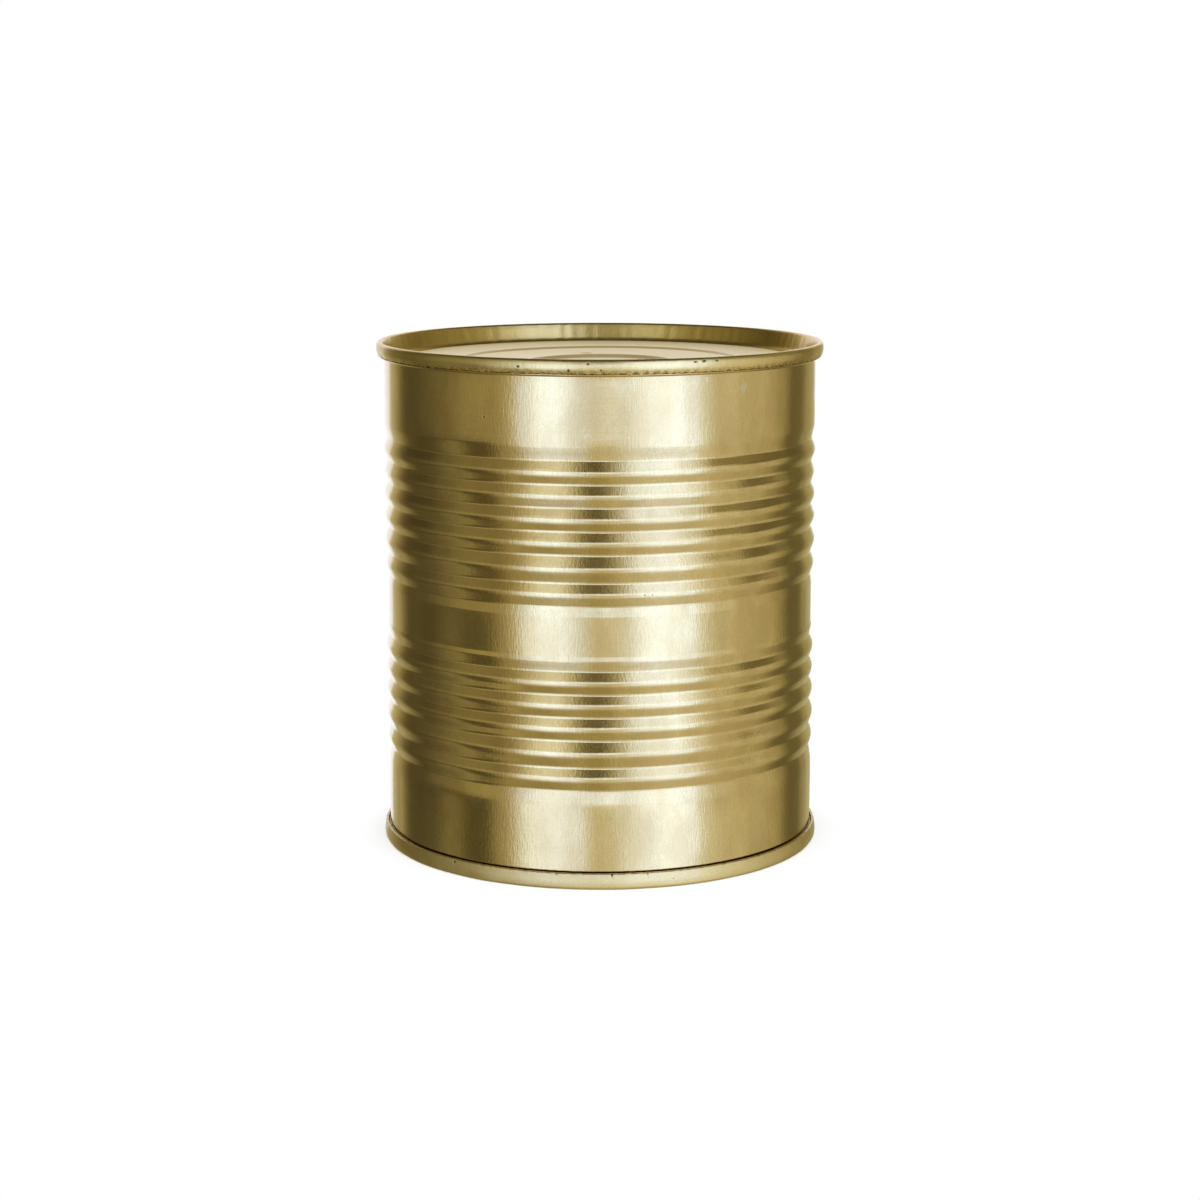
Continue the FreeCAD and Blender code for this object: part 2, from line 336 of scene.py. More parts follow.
GOLD = (0.82, 0.59, 0.235, 1)
DEEP_GOLD = (0.72, 0.49, 0.171, 1)
BARE_TIN = (0.84, 0.79, 0.66, 1)
WELD_GREY = (0.42, 0.38, 0.29, 1)
PIT = (0.12, 0.07, 0.02, 1)
# Painted shade: the dark of crevices, of the foot of the top seam and of the panel's steps.
PAINTED_SHADE = (0.30, 0.19, 0.05, 1)
SEAM_GOLD = (0.95, 0.71, 0.29, 1)
PANEL_GOLD = (0.78, 0.67, 0.42, 1)
DARK_GRAIN = (0.50, 0.36, 0.13, 1)
# Painted shade: the deeper gold inside a seam's recess.
PAINTED_RECESS_SHADE = (0.80, 0.53, 0.13, 1)
COAT_IOR = 1.6
PIT_DEPTH = 0.05
WELD_WIDTH = 1.3
WELD_BARE = 5.0


def mark_distance(n, place, angle, height, radius, spread=(1, 1, 1)):
    """Distance in millimetres from one spot of the can; spread stretches it along X, Y and Z."""
    spot = (radius * math.sin(math.radians(angle)), -radius * math.cos(math.radians(angle)), height)
    offset = n.add("VectorMath", {0: place, 1: spot}, operation="SUBTRACT").outputs[0]
    scaled = n.add("VectorMath", {0: offset, 1: spread}, operation="DIVIDE").outputs[0]
    return n.add("VectorMath", {0: scaled}, operation="LENGTH").outputs["Value"]


def spots_mask(n, place, spots, ragged):
    """1 inside the spots (angle, height, radius, size, spread) and 0 outside; ragged frays their edges."""
    mask = 0.0
    for angle, height, radius, size, spread in spots:
        distance = mark_distance(n, place, angle, height, radius, spread)
        frayed = n.math("MULTIPLY", n.math("SUBTRACT", ragged, 0.5), size * 2.4)
        spot = n.ramp(n.math("ADD", distance, frayed), size * 1.1, size * 0.3)
        mask = n.math("MAXIMUM", mask, spot)
    return mask


def gold_lacquer(name, roughness, grain_height, speckle_height, scuffs=(), pits=(), worn_rings=(),
                 painted_shade_rings=(), recess_radius=0, overlay=(GOLD, 0.0), metal=1.0, coat=1.0,
                 coat_roughness=0.1, weld=False):
    """Tinplate under clear gold lacquer: upright grain, uneven lacquer, scuffs, pits, worn edges and painted
    shade.

    overlay is a colour and its share over the uneven gold; inside recess_radius it turns deeper, as painted
    shade.
    Rings are (radius, height, reach), and a ring of painted shade adds its noise limits and its share.
    """
    material = bpy.data.materials.new(name)
    material.use_nodes = True
    n = Nodes(material.node_tree)
    metres = n.add("TexCoord").outputs["Object"]
    place = n.add("VectorMath", {0: metres, 1: (1000, 1000, 1000)}, operation="MULTIPLY").outputs[0]

    def noise(scale, stretch=(1, 1, 1), detail=2.0, rough=0.5):
        where = n.add("VectorMath", {0: place, 1: stretch}, operation="MULTIPLY").outputs[0]
        inputs = {"Vector": where, "Scale": scale, "Detail": detail, "Roughness": rough}
        return n.add("TexNoise", inputs).outputs[0]

    def ring_distance(ring_radius, ring_height):
        across = n.math("SUBTRACT", radius, ring_radius)
        up = n.math("SUBTRACT", height, ring_height)
        return n.math("SQRT", n.math("ADD", n.math("MULTIPLY", across, across), n.math("MULTIPLY", up, up)))

    upright = noise(2.4, (1, 1, 0.22), 2.5, 0.6)
    threads = noise(5.5, (1, 1, 0.05), 1.0)
    rings = noise(2.6, (0.04, 0.04, 1), 2.0, 0.6)
    cloud = noise(0.11, (1, 1, 0.6), 3.0, 0.55)
    speckle = noise(1.1, (1, 1, 0.8), 4.0, 0.7)

    colour = n.mix(n.ramp(cloud, 0.38, 0.66), GOLD, DEEP_GOLD)
    colour = n.mix(n.ramp(upright, 0.42, 0.62, 0, 0.35), colour, DEEP_GOLD)
    colour = n.mix(overlay[1], colour, overlay[0])
    dark_grain = noise(3.2, (1, 1, 0.6), 1.0)
    colour = n.mix(n.ramp(dark_grain, 0.38, 0.66, 0, 0.15), colour, DARK_GRAIN)
    scuffed = spots_mask(n, place, scuffs, speckle)
    x, y, height = n.add("SeparateXYZ", {0: place}).outputs
    radius = n.math("SQRT", n.math("ADD", n.math("MULTIPLY", x, x), n.math("MULTIPLY", y, y)))
    for ring_radius, ring_height, reach in worn_rings:
        near = n.ramp(ring_distance(ring_radius, ring_height), reach, reach * 0.3)
        scuffed = n.math("MAXIMUM", scuffed, n.math("MULTIPLY", near, n.ramp(speckle, 0.44, 0.6, 0, 0.8)))
    colour = n.mix(n.math("MULTIPLY", scuffed, 0.32), colour, BARE_TIN)
    flecks = noise(1.5, (1, 1, 1.6), 3.0, 0.7)
    # Painted shade: broken dark rings at crevices, at the foot of the top seam and along the panel's steps,
    # where they lie in shade.
    for ring_radius, ring_height, reach, low, high, share in painted_shade_rings:
        near = n.ramp(ring_distance(ring_radius, ring_height), reach, reach * 0.4)
        painted_shade = n.math("MULTIPLY", near, n.ramp(flecks, low, high, 0, share))
        colour = n.mix(painted_shade, colour, PAINTED_SHADE)
    pitted = spots_mask(n, place, pits, speckle)
    colour = n.mix(pitted, colour, PIT)

    rough = n.math("ADD", n.ramp(cloud, 0.3, 0.7, roughness - 0.02, roughness + 0.03),
                   n.ramp(threads, 0.3, 0.7, -0.02, 0.03))
    rough = n.math("ADD", rough, n.math("MULTIPLY", scuffed, 0.15))
    # Painted shade: inside the seam's recess the gold turns deeper and darker.
    if recess_radius:
        inner = n.ramp(radius, recess_radius + 0.4, recess_radius)
        colour = n.mix(n.math("MULTIPLY", inner, 0.7), colour, PAINTED_RECESS_SHADE)
    if weld:
        aside, behind = n.math("ABSOLUTE", x), n.ramp(y, 0, 1)
        stripe = n.math("MULTIPLY", n.ramp(aside, WELD_BARE + 0.2, WELD_BARE - 0.2), behind)
        colour = n.mix(n.math("MULTIPLY", stripe, 0.35), colour, BARE_TIN)
        seam = n.ramp(aside, WELD_WIDTH / 2 + 0.1, WELD_WIDTH / 2 - 0.1)
        seam = n.math("MULTIPLY", seam, behind)
        colour = n.mix(n.math("MULTIPLY", seam, 0.8), colour, WELD_GREY)
        rough = n.math("ADD", rough, n.math("MULTIPLY", seam, 0.2))
    relief = n.math("MULTIPLY", upright, grain_height)
    relief = n.math("ADD", relief, n.math("MULTIPLY", threads, grain_height * 0.25))
    relief = n.math("ADD", relief, n.math("MULTIPLY", rings, grain_height * 0.3))
    relief = n.math("ADD", relief, n.math("MULTIPLY", speckle, speckle_height))
    relief = n.math("SUBTRACT", relief, n.math("MULTIPLY", pitted, PIT_DEPTH))
    bump = n.add("Bump", {"Height": relief, "Strength": 1.0, "Distance": MM})
    shader = n.add("BsdfPrincipled", {
        "Base Color": colour, "Metallic": metal, "Roughness": rough, "Normal": bump.outputs[0],
        "Coat Weight": coat, "Coat Roughness": coat_roughness, "Coat IOR": COAT_IOR,
    })
    n.tree.links.new(shader.outputs[0], n.add("OutputMaterial").inputs[0])
    return material


# Marks on the lacquer as (angle, height, radius, size, spread along X, Y and Z). They are where the
# clear ones show in the photograph. The angles and heights of WALL_PITS and of the last of BASE_PITS
# are as a scratch script worked them out from there; those of the others were worked out by hand.
WALL_SCUFFS = [
    (27.4, 111.5, BODY_RADIUS, 0.35, (2.2, 1, 2.2)),
    (38.7, 109.2, BODY_RADIUS, 0.9, (1.2, 1, 1.5)),
    (54.7, 109.0, BODY_RADIUS, 0.3, (1, 1, 1)),
    (59.1, 109.0, BODY_RADIUS, 0.3, (1, 1, 1)),
    (-29.6, 103.5, BODY_RADIUS, 0.3, (1, 1, 1)),
]
WALL_PITS = [
    (-30.2, 103.3, BODY_RADIUS, 0.3, (1, 1, 1)),
    (-11.0, 27.3, BODY_RADIUS, 0.55, (1.2, 1, 0.4)),
    (11.7, 70.9, BODY_RADIUS, 0.15, (1, 1, 1)),
    (15.5, 70.7, BODY_RADIUS, 0.14, (1, 1, 1)),
    (11.2, 65.4, BODY_RADIUS, 0.16, (1, 1, 0.7)),
    (13.2, 65.4, BODY_RADIUS, 0.16, (1, 1, 0.7)),
    (-0.8, 73.3, BODY_RADIUS, 0.25, (0.5, 1, 1.6)),
    (0.6, 25.8, BODY_RADIUS, 0.25, (0.5, 1, 1.6)),
]
SEAM_FACE = TOP_SEAM_RADIUS - 0.1
SEAM_PITS = [
    (-19.9, 114.6, SEAM_FACE, 0.4, (1, 1, 1)),
    (-7.5, 113.9, SEAM_FACE, 0.35, (1, 1, 1)),
    (-2.8, 115.4, SEAM_FACE, 0.4, (1.3, 1, 0.8)),
    (0.2, 113.9, SEAM_FACE, 0.35, (1, 1, 1)),
    (23.4, 115.5, SEAM_FACE, 0.4, (1.5, 1, 0.7)),
    (25.6, 115.6, SEAM_FACE, 0.5, (1.6, 1, 0.7)),
    (29.0, 115.6, SEAM_FACE, 0.45, (1.6, 1, 0.7)),
]
BASE_FACE = BASE_SEAM_RADIUS - 0.2
BASE_PITS = [
    (-39.9, 3.1, BASE_FACE, 0.45, (1, 1, 1)),
    (-10.9, 3.6, BASE_FACE, 0.6, (0.5, 1, 1.1)),
    (2.9, 3.6, BASE_FACE, 0.6, (0.5, 1, 1.1)),
    (11.9, 3.6, BASE_FACE, 0.6, (0.5, 1, 1.1)),
    (18.5, 1.9, BASE_FACE, 0.3, (1, 1, 1)),
]


# ---------------------------------------------------------------- the can

RNG = np.random.default_rng(3)


def ripples(count, turns, rises):
    """Random sine waves (turns round the can, rise per millimetre, two phases), the same each run."""
    return [(RNG.integers(*turns), RNG.uniform(*rises), RNG.uniform(0, 2 * math.pi, 2)) for _ in range(count)]


def wander(waves, angle, height):
    """The sum of some ripples, mostly between -1 and 1."""
    total = np.zeros_like(angle)
    for turns, rise, (start, lean) in waves:
        total += np.sin(turns * angle + start) * np.sin(rise * height + lean) * 1.6 / math.sqrt(len(waves))
    return total


WALL_WAVES = ripples(14, (3, 16), (0.03, 0.2))
SEAM_WAVES = ripples(8, (5, 30), (0.1, 0.5))
RAGGED = ripples(16, (60, 220), (0.5, 3.0))
PANEL_WAVES = ripples(8, (1, 5), (0.0, 0.1))
CHUCK_WAVES = ripples(24, (50, 130), (0.02, 0.3))
WALL_WANDER = 0.035
SEAM_WANDER = 0.03
LIP_INWARD = 0.1
LIP_UPWARD = 0.16
BASE_LIP_DOWN = 0.04
CHUCK_WANDER = 0.022
PANEL_WANDER = 0.04
TOP_NICK_DEPTH = 0.15
BASE_NICK_DEPTH = 0.12
WELD_RISE = 0.07
BASE_NICKS = (-39.9, -10.9, 2.9, 11.9, 96, 151, -120)
TOP_NICKS = (-63, 44, 129, -150)


def smooth(value, low, high):
    share = np.clip((value - low) / (high - low), 0, 1)
    return share * share * (3 - 2 * share)


def wall_shape(angle, radius, height):
    """The wall is sprung sheet steel, so it wanders a little, and a weld runs up its back."""
    outside = smooth(radius, BODY_RADIUS - 1, BODY_RADIUS - 0.9)
    plain = smooth(height, BASE_SEAM_HEIGHT, BASE_SEAM_HEIGHT + 4) * smooth(-height, -HEIGHT + 4, -HEIGHT + 8)
    radius = radius + WALL_WANDER * wander(WALL_WAVES, angle, height) * plain * outside
    from_weld = (math.pi - np.abs(angle)) * BODY_RADIUS
    on_weld = smooth(-from_weld, -WELD_WIDTH / 2 - 0.15, -WELD_WIDTH / 2 + 0.15)
    radius = radius + WELD_RISE * on_weld * plain * outside
    return angle, radius, height


def nicked(angle, radius, height, nicks, lip_height, depth):
    """Small knocks in the lip of a seam."""
    for nick in nicks:
        along = (angle - math.radians(nick)) * radius
        near = np.exp(-(along / 0.28) ** 2 - ((height - lip_height) / 0.45) ** 2)
        radius = radius - depth * near * (radius > BODY_RADIUS + 0.2)
    return radius


def top_shape(angle, radius, height):
    """A ragged, slightly uneven seam, a faintly rippled chuck wall, a soft panel and its boss."""
    outside = smooth(radius, TOP_SEAM_RADIUS - 1, TOP_SEAM_RADIUS - 0.6)
    lip = smooth(-height, -HEIGHT + 2.2, -HEIGHT + TOP_SEAM_HEIGHT)
    seam_foot = HEIGHT - TOP_SEAM_HEIGHT
    radius = radius - SEAM_WANDER * (1 + wander(SEAM_WAVES, angle, height)) * outside
    radius = radius - LIP_INWARD * (1 + wander(RAGGED, angle, height)) * outside * lip
    height = height + LIP_UPWARD * (1 + wander(RAGGED, angle, 0)) * outside * lip
    radius = nicked(angle, radius, height, TOP_NICKS, seam_foot, TOP_NICK_DEPTH)
    upper_side = height > HEIGHT - PLUG_DEPTH + 0.1
    chuck = TOP_SEAM_RADIUS - SEAM_THICKNESS
    chuck_foot = chuck - CHUCK_TAPER
    chuck_wall = smooth(radius, chuck_foot, chuck_foot + 0.3) * smooth(-radius, -chuck - 0.1, -chuck + 0.2)
    radius = radius - CHUCK_WANDER * (1 + wander(CHUCK_WAVES, angle, height)) * chuck_wall * upper_side
    panel = smooth(-radius, -OUTER_STEP - 6, -OUTER_STEP) * upper_side
    height = height + PANEL_WANDER * wander(PANEL_WAVES, angle, radius) * panel * smooth(radius, 0, 8)
    x, y = radius * np.sin(angle), -radius * np.cos(angle)
    from_pip = np.hypot(x - PIP_SIDE, y - math.sqrt(PIP_REACH ** 2 - PIP_SIDE ** 2))
    height = height + PIP_HEIGHT * smooth(-from_pip, -PIP_RADIUS - 0.1, -PIP_RADIUS + 0.9) * panel
    return angle, radius, height


def base_shape(angle, radius, height):
    """A seam with small knocks in its lip, and a soft panel."""
    outside = smooth(radius, BASE_SEAM_RADIUS - 1, BASE_SEAM_RADIUS - 0.6)
    lip = smooth(height, 2.2, BASE_SEAM_HEIGHT)
    radius = radius - SEAM_WANDER * (1 + wander(SEAM_WAVES, angle, height)) * outside
    height = height - BASE_LIP_DOWN * (1 + wander(RAGGED, angle, 0)) * outside * lip
    radius = nicked(angle, radius, height, BASE_NICKS, BASE_SEAM_HEIGHT, BASE_NICK_DEPTH)
    panel = smooth(-radius, -OUTER_STEP - 6, -OUTER_STEP) * (height < PLUG_DEPTH - 0.1)
    height = height + PANEL_WANDER * wander(PANEL_WAVES, angle, radius) * panel * smooth(radius, 0, 8)
    return angle, radius, height


WALL_SEGMENTS = 560
END_SEGMENTS = 720
body_turn = spread_angles(WALL_SEGMENTS, [180], 1.2, 25)
body = lathe("can_body_wall", body_outline(), body_turn, wall_shape)
top_root = [(PLUG_RADIUS, TOP_SEAM_HEIGHT, 0)]
top_outline = end_outline(TOP_SEAM_RADIUS, TOP_SEAM_HEIGHT, TOP_LIP_INSET, top_root)
top_outline[:, 1] = HEIGHT - top_outline[:, 1]
top_outline = finer(top_outline, INNER_STEP, INNER_STEP + 4.5, 0.3)
top_turn = spread_angles(END_SEGMENTS, TOP_NICKS, 0.6, 7)
top = lathe("can_top_end", top_outline, top_turn, top_shape)
base_root = [
    (PLUG_RADIUS, BASE_SEAM_HEIGHT - CREVICE_DEPTH, 0),
    (BODY_RADIUS + CREVICE_WIDTH, BASE_SEAM_HEIGHT - CREVICE_DEPTH, 0),
    (BODY_RADIUS + CREVICE_WIDTH, BASE_SEAM_HEIGHT, 0.05),
]
base_outline = end_outline(BASE_SEAM_RADIUS, BASE_SEAM_HEIGHT, BASE_LIP_INSET, base_root)
base_turn = spread_angles(END_SEGMENTS, BASE_NICKS, 0.6, 7)
base = lathe("can_bottom_end", base_outline, base_turn, base_shape)

# The wall's painted shade is a dark ring in the crevice above the base seam.
wall_lacquer = gold_lacquer(
    "wall_lacquer", roughness=0.16, grain_height=0.025, speckle_height=0.011, scuffs=WALL_SCUFFS,
    pits=WALL_PITS, weld=True,
    painted_shade_rings=[(BODY_RADIUS, BASE_SEAM_HEIGHT - 0.4, 0.8, 0.1, 0.3, 0.9)])
top_lip = TOP_SEAM_RADIUS - TOP_LIP_INSET
# The top end's painted shade: deeper gold in the seam's recess, and a broken dark ring at the seam's foot.
top_lacquer = gold_lacquer(
    "top_lacquer", roughness=0.31, grain_height=0.045, speckle_height=0.03, pits=SEAM_PITS,
    coat=0.5, overlay=(SEAM_GOLD, 0.8), recess_radius=TOP_SEAM_RADIUS - SEAM_THICKNESS,
    painted_shade_rings=[(top_lip, HEIGHT - TOP_SEAM_HEIGHT, 1.2, 0.46, 0.6, 0.8)])
# The panel's painted shade: dark rings along its two steps.
panel_lacquer = gold_lacquer(
    "panel_lacquer", roughness=0.38, grain_height=0.03, speckle_height=0.02, coat=0.25,
    coat_roughness=0.3, metal=0.55, overlay=(PANEL_GOLD, 0.8),
    painted_shade_rings=[(OUTER_STEP - 0.4, HEIGHT - PANEL_DROP - 0.4, 0.8, 0.1, 0.3, 0.6),
                   (INNER_STEP - 0.4, HEIGHT - PANEL_DROP - 1.2, 0.9, 0.1, 0.3, 0.6)])
# The base end's painted shade: deeper gold in the seam's recess, and a dark ring in the crevice over the
# seam.
base_lacquer = gold_lacquer(
    "base_lacquer", roughness=0.48, grain_height=0.01, speckle_height=0.015, pits=BASE_PITS,
    coat=0.6, overlay=(SEAM_GOLD, 1.0), recess_radius=BASE_SEAM_RADIUS - SEAM_THICKNESS,
    worn_rings=[(BASE_SEAM_RADIUS - BASE_LIP_INSET, BASE_SEAM_HEIGHT, 0.3)],
    painted_shade_rings=[(BODY_RADIUS + CREVICE_WIDTH, BASE_SEAM_HEIGHT - 0.5, 0.55, 0.1, 0.3, 0.9)])
for piece, node, slot, material in ((body, "can_body", "body_lacquer", wall_lacquer),
                                    (top, "top_end", "end_lacquer", top_lacquer),
                                    (base, "bottom_end", "end_lacquer", base_lacquer)):
    piece.data.materials.append(material)
    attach(piece, "root")
    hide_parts(node)
panel_radius = TOP_SEAM_RADIUS - SEAM_THICKNESS - CHUCK_TAPER - PANEL_MARGIN
for end in (top, base):
    end.data.materials.append(panel_lacquer)
    for face in end.data.polygons:
        on_panel = math.hypot(face.center.x, face.center.y) < panel_radius * MM
        face.material_index = 1 if on_panel else 0

# ---------------------------------------------------------------- studio

FLOOR_SIZE = 6.0
FLOOR_FADE = (0.044, 0.058)


def seen_rays(n):
    """1 for rays that show the background: from the camera, a mirror or clear glass."""
    rays = n.add("LightPath").outputs
    mirrored = n.math("MAXIMUM", rays["Is Glossy Ray"], rays["Is Transmission Ray"])
    return n.math("MAXIMUM", rays["Is Camera Ray"], mirrored)


def studio_floor():
    """A pale floor that keeps the soft shadow of the can and fades to the white of the backdrop."""
    half = FLOOR_SIZE / 2
    mesh = bpy.data.meshes.new("floor")
    corners = [(-half, -half, 0), (half, -half, 0), (half, half, 0), (-half, half, 0)]
    mesh.from_pydata(corners, [], [(0, 1, 2, 3)])
    floor = bpy.data.objects.new("floor", mesh)
    bpy.context.scene.collection.objects.link(floor)
    floor.visible_glossy = False
    material = bpy.data.materials.new("floor")
    material.use_nodes = True
    n = Nodes(material.node_tree)
    place = n.add("TexCoord").outputs["Object"]
    distance = n.add("VectorMath", {0: place}, operation="LENGTH").outputs["Value"]
    white = n.math("MULTIPLY", n.ramp(distance, *FLOOR_FADE), seen_rays(n))
    paint = n.add("BsdfDiffuse", {"Color": (0.92, 0.92, 0.92, 1)}).outputs[0]
    glow = n.add("Emission", {"Color": (1, 1, 1, 1), "Strength": 1.0}).outputs[0]
    both = n.add("MixShader", {0: white, 1: paint, 2: glow}).outputs[0]
    n.tree.links.new(both, n.add("OutputMaterial").inputs[0])
    mesh.materials.append(material)


studio_floor()

# What the metal mirrors: rows of brightness by azimuth, from under the can to above it, open to the
# white behind. The first levels and tints were worked out from the bands that the can shows in the
# photograph, and were then changed, so they suit the front view and that photograph.
SURROUND_RADIUS = 1.2
OPEN_ELEVATIONS = (-30, -22, -14, -4, 16, 24, 32)
OPEN_LEFT = (-180, -158, -152, -147, -145, -144, -180)
OPEN_RIGHT = (180, 171, 166, 160, 157, 156, 180)
GLOW_FLOOR = [
    (-180, 0.4), (-150, 0.2), (-60, 0.2), (-30, 0.4), (0, 0.5), (60, 0.45), (150, 0.3), (180, 0.4),
]
GLOW_LOW = [
    (-147, 0.36), (-139, 0.24), (-131, 0.12), (-122, 0.08), (-108, 0.13), (-96, 0.2), (-84, 0.34),
    (-68, 0.4), (-60, 0.46), (-48, 0.38), (-36, 0.38), (-24, 0.5), (0, 0.4), (12, 0.58), (48, 0.72),
    (60, 0.65), (84, 0.56), (96, 0.5), (108, 0.36), (120, 0.14), (140, 0.12), (160, 0.3),
]
GLOW_MID = [
    (-147, 0.5), (-139, 0.48), (-131, 0.25), (-122, 0.09), (-105, 0.12), (-92, 0.2), (-80, 0.28),
    (-60, 0.38), (-47, 0.5), (-38, 1.08), (-26, 1.3), (-16, 1.2), (-2, 0.68), (8, 0.84), (18, 1.1),
    (28, 1.32), (38, 1.45), (48, 1.3), (54, 0.95), (60, 0.74), (80, 0.64), (97, 0.6), (108, 0.44),
    (120, 0.17), (132, 0.15), (143, 0.4), (160, 0.5),
]
GLOW_STRIP = [
    (-147, 0.5), (-139, 0.48), (-131, 0.25), (-122, 0.09), (-105, 0.12), (-92, 0.2), (-80, 0.28),
    (-60, 0.38), (-47, 0.5), (-38, 1.2), (-26, 1.4), (-2, 1.15), (22, 1.35), (38, 1.5), (48, 1.5),
    (54, 1.08), (60, 0.8), (80, 0.64), (97, 0.6), (108, 0.42), (120, 0.17), (132, 0.15), (143, 0.4),
    (160, 0.5),
]
GLOW_HIGH = [
    (-147, 0.5), (-139, 0.36), (-131, 0.16), (-122, 0.07), (-105, 0.07), (-92, 0.16), (-80, 0.24),
    (-60, 0.24), (-48, 0.3), (-40, 0.62), (-32, 0.9), (-22, 0.95), (-14, 0.6), (-8, 0.14), (2, 0.1),
    (8, 0.5), (20, 1.15), (38, 1.35), (50, 1.0), (60, 0.68), (80, 0.58), (97, 0.5), (108, 0.32),
    (122, 0.12), (132, 0.12), (143, 0.34), (160, 0.5),
]
# Dark cards as (level, left, right, low, high, softness above and below).
DARK_CARDS = [
    (0.1, -79, -57, -42, -9, 1.5),
    (0.1, -112, -57, -12, -7, 3),
    (0.08, -116, -92, -17, -12, 3),
    (0.27, 60, 126, 20, 38, 1.5),
    (0.16, 80, 121, 10, 20, 1.5),
]
CARD_SIDE = 5
GLOW_TOP = 2.5
ZENITH = 0.06
TINT_LEVELS = (0.45, 0.65, 0.9, 1.25)
TINTS = ((1, 1, 1, 1), (0.95, 1.01, 1.15, 1.34), (0.53, 0.82, 1.31, 2.41))
SIDE_TINT = (1, 0.93, 0.75)


def tinted(level, azimuth=0):
    """Light of one level: dim parts of the room are warm, most of all at the sides, and bright cards cool."""
    side = min(max((abs(azimuth) - 108) / 16, 0), 1)
    colour = []
    for tints, edge in zip(TINTS, SIDE_TINT):
        colour.append(np.interp(level, TINT_LEVELS, tints) * (1 + (edge - 1) * side))
    return tuple(level * c / GLOW_TOP for c in colour) + (1,)


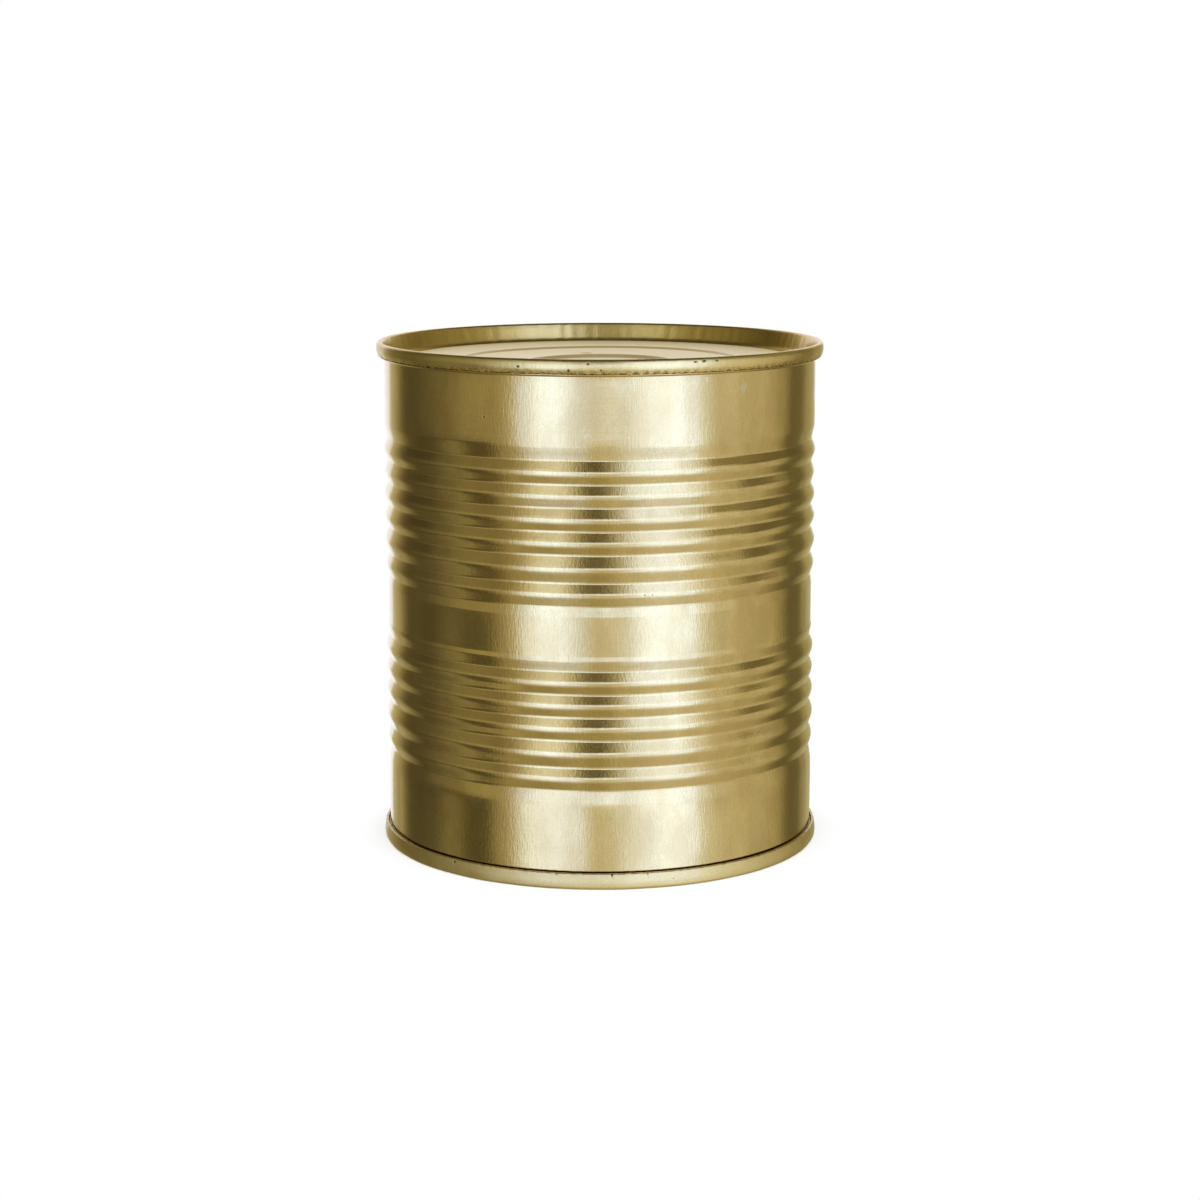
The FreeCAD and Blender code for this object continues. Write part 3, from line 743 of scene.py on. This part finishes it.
def studio_surround():
    """A glowing globe that only reflections see, with the rows of brightness and the dark cards on it."""
    azimuths = np.arange(-180, 181)
    heights = np.arange(-88, 89, 2)
    centre = HEIGHT / 2 * MM
    points, faces = [], []
    for e in np.radians(heights):
        across, up = SURROUND_RADIUS * math.cos(e), SURROUND_RADIUS * math.sin(e)
        for a in np.radians(azimuths):
            points.append((across * math.sin(a), -across * math.cos(a), centre + up))
    columns = len(azimuths)
    for row, elevation in enumerate(heights[:-1]):
        for k, azimuth in enumerate(azimuths[:-1]):
            left = np.interp(elevation, OPEN_ELEVATIONS, OPEN_LEFT)
            right = np.interp(elevation, OPEN_ELEVATIONS, OPEN_RIGHT)
            if not left <= azimuth < right:
                continue
            a = row * columns + k
            faces.append((a, a + 1, a + columns + 1, a + columns))
    mesh = bpy.data.meshes.new("surround")
    mesh.from_pydata(points, [], faces)
    wall = bpy.data.objects.new("surround", mesh)
    bpy.context.scene.collection.objects.link(wall)
    wall.visible_camera = False
    wall.visible_diffuse = False
    wall.visible_shadow = False
    wall.visible_transmission = False
    material = bpy.data.materials.new("surround")
    material.use_nodes = True
    n = Nodes(material.node_tree)
    place = n.add("TexCoord").outputs["Object"]
    offset = n.add("VectorMath", {0: place, 1: (0, 0, -centre)}, operation="ADD").outputs[0]
    parts = n.add("SeparateXYZ", {0: offset}).outputs
    azimuth = n.math("ARCTAN2", parts[0], n.math("MULTIPLY", parts[1], -1.0))
    share = n.math("ADD", n.math("DIVIDE", azimuth, 2 * math.pi), 0.5)
    rise = n.math("DIVIDE", parts[2], SURROUND_RADIUS)

    def glow(stops):
        node = n.add("ValToRGB", {"Fac": share})
        ramp = node.color_ramp
        ramp.interpolation = "EASE"
        while len(ramp.elements) < len(stops):
            ramp.elements.new(0.5)
        for element, (degrees, level) in zip(ramp.elements, stops):
            element.position = degrees / 360 + 0.5
        for element, (degrees, level) in zip(ramp.elements, stops):
            element.color = tinted(level, degrees)
        return node.outputs[0]

    def between(low, high):
        return n.ramp(rise, math.sin(math.radians(low)), math.sin(math.radians(high)))

    def card(left, right, low, high, soft):
        """A mask over a stretch of azimuth and elevation."""
        turn = n.math("MULTIPLY", n.math("SUBTRACT", share, 0.5), 360.0)
        from_left = n.ramp(turn, left - CARD_SIDE, left + CARD_SIDE)
        from_right = n.ramp(turn, right + CARD_SIDE, right - CARD_SIDE)
        under_top = n.math("SUBTRACT", 1.0, between(high - soft, high + soft))
        rows = n.math("MULTIPLY", between(low - soft, low + soft), under_top)
        return n.math("MULTIPLY", n.math("MULTIPLY", from_left, from_right), rows)

    colour = n.mix(between(-66, -52), glow(GLOW_FLOOR), glow(GLOW_LOW))
    colour = n.mix(between(-48, -12), colour, glow(GLOW_MID))
    colour = n.mix(between(-7, -1), colour, glow(GLOW_STRIP))
    colour = n.mix(between(5, 11), colour, glow(GLOW_HIGH))
    colour = n.mix(between(34, 50), colour, tinted(ZENITH))
    for level, *reach in DARK_CARDS:
        colour = n.mix(card(*reach), colour, tinted(level))
    stretched = n.add("VectorMath", {0: offset, 1: (9, 9, 2)}, operation="MULTIPLY").outputs[0]
    uneven = n.add("TexNoise", {"Vector": stretched, "Scale": 1.0, "Detail": 2.0}).outputs[0]
    colour = n.mix(n.ramp(uneven, 0.45, 0.7, 0, 0.35), colour, tinted(0.06))
    emission = n.add("Emission", {"Color": colour, "Strength": GLOW_TOP})
    n.tree.links.new(emission.outputs[0], n.add("OutputMaterial").inputs[0])
    mesh.materials.append(material)


studio_surround()


def area_lamp(name, azimuth, elevation, distance, size, power):
    """A soft box that faces the middle of the can. The metal mirrors the surround instead of it."""
    light = bpy.data.lights.new(name, "AREA")
    light.shape = "RECTANGLE"
    light.size, light.size_y = size
    light.energy = power
    lamp = bpy.data.objects.new(name, light)
    a, e = math.radians(azimuth), math.radians(elevation)
    across, up = distance * math.cos(e), distance * math.sin(e)
    lamp.location = (across * math.sin(a), -across * math.cos(a), up + HEIGHT / 2 * MM)
    lamp.rotation_euler = (math.pi / 2 - e, 0, a)
    lamp.visible_glossy = False
    bpy.context.scene.collection.objects.link(lamp)


area_lamp("left_softbox", -40, 55, 1.6, (1.2, 1.2), 12)
area_lamp("right_softbox", 45, 55, 1.6, (1.2, 1.2), 12)

WORLD_LIGHT = 0.75
world = bpy.data.worlds.new("studio")
bpy.context.scene.world = world
world.use_nodes = True
n = Nodes(world.node_tree)
strength = n.ramp(seen_rays(n), 0, 1, WORLD_LIGHT, 1.0, smooth=False)
background = n.add("Background", {"Color": (1, 1, 1, 1), "Strength": strength})
n.tree.links.new(background.outputs[0], n.add("OutputWorld").inputs[0])

# The camera's place and lens come from a fit on the outlines that the can shows in the photograph.
CAMERA_BACK = 0.5972
CAMERA_HEIGHT = 0.1659
CAMERA_PITCH = 10.49
CAMERA_LENS = 77.7
CAMERA_SENSOR = 36
camera_data = bpy.data.cameras.new("camera")
camera_data.lens = CAMERA_LENS
camera_data.sensor_width = CAMERA_SENSOR
camera = bpy.data.objects.new("camera", camera_data)
camera.location = (0, -CAMERA_BACK, CAMERA_HEIGHT)
camera.rotation_euler = (math.radians(90 - CAMERA_PITCH), 0, 0)
bpy.context.scene.collection.objects.link(camera)
bpy.context.scene.camera = camera
bpy.context.scene.view_settings.view_transform = "Standard"
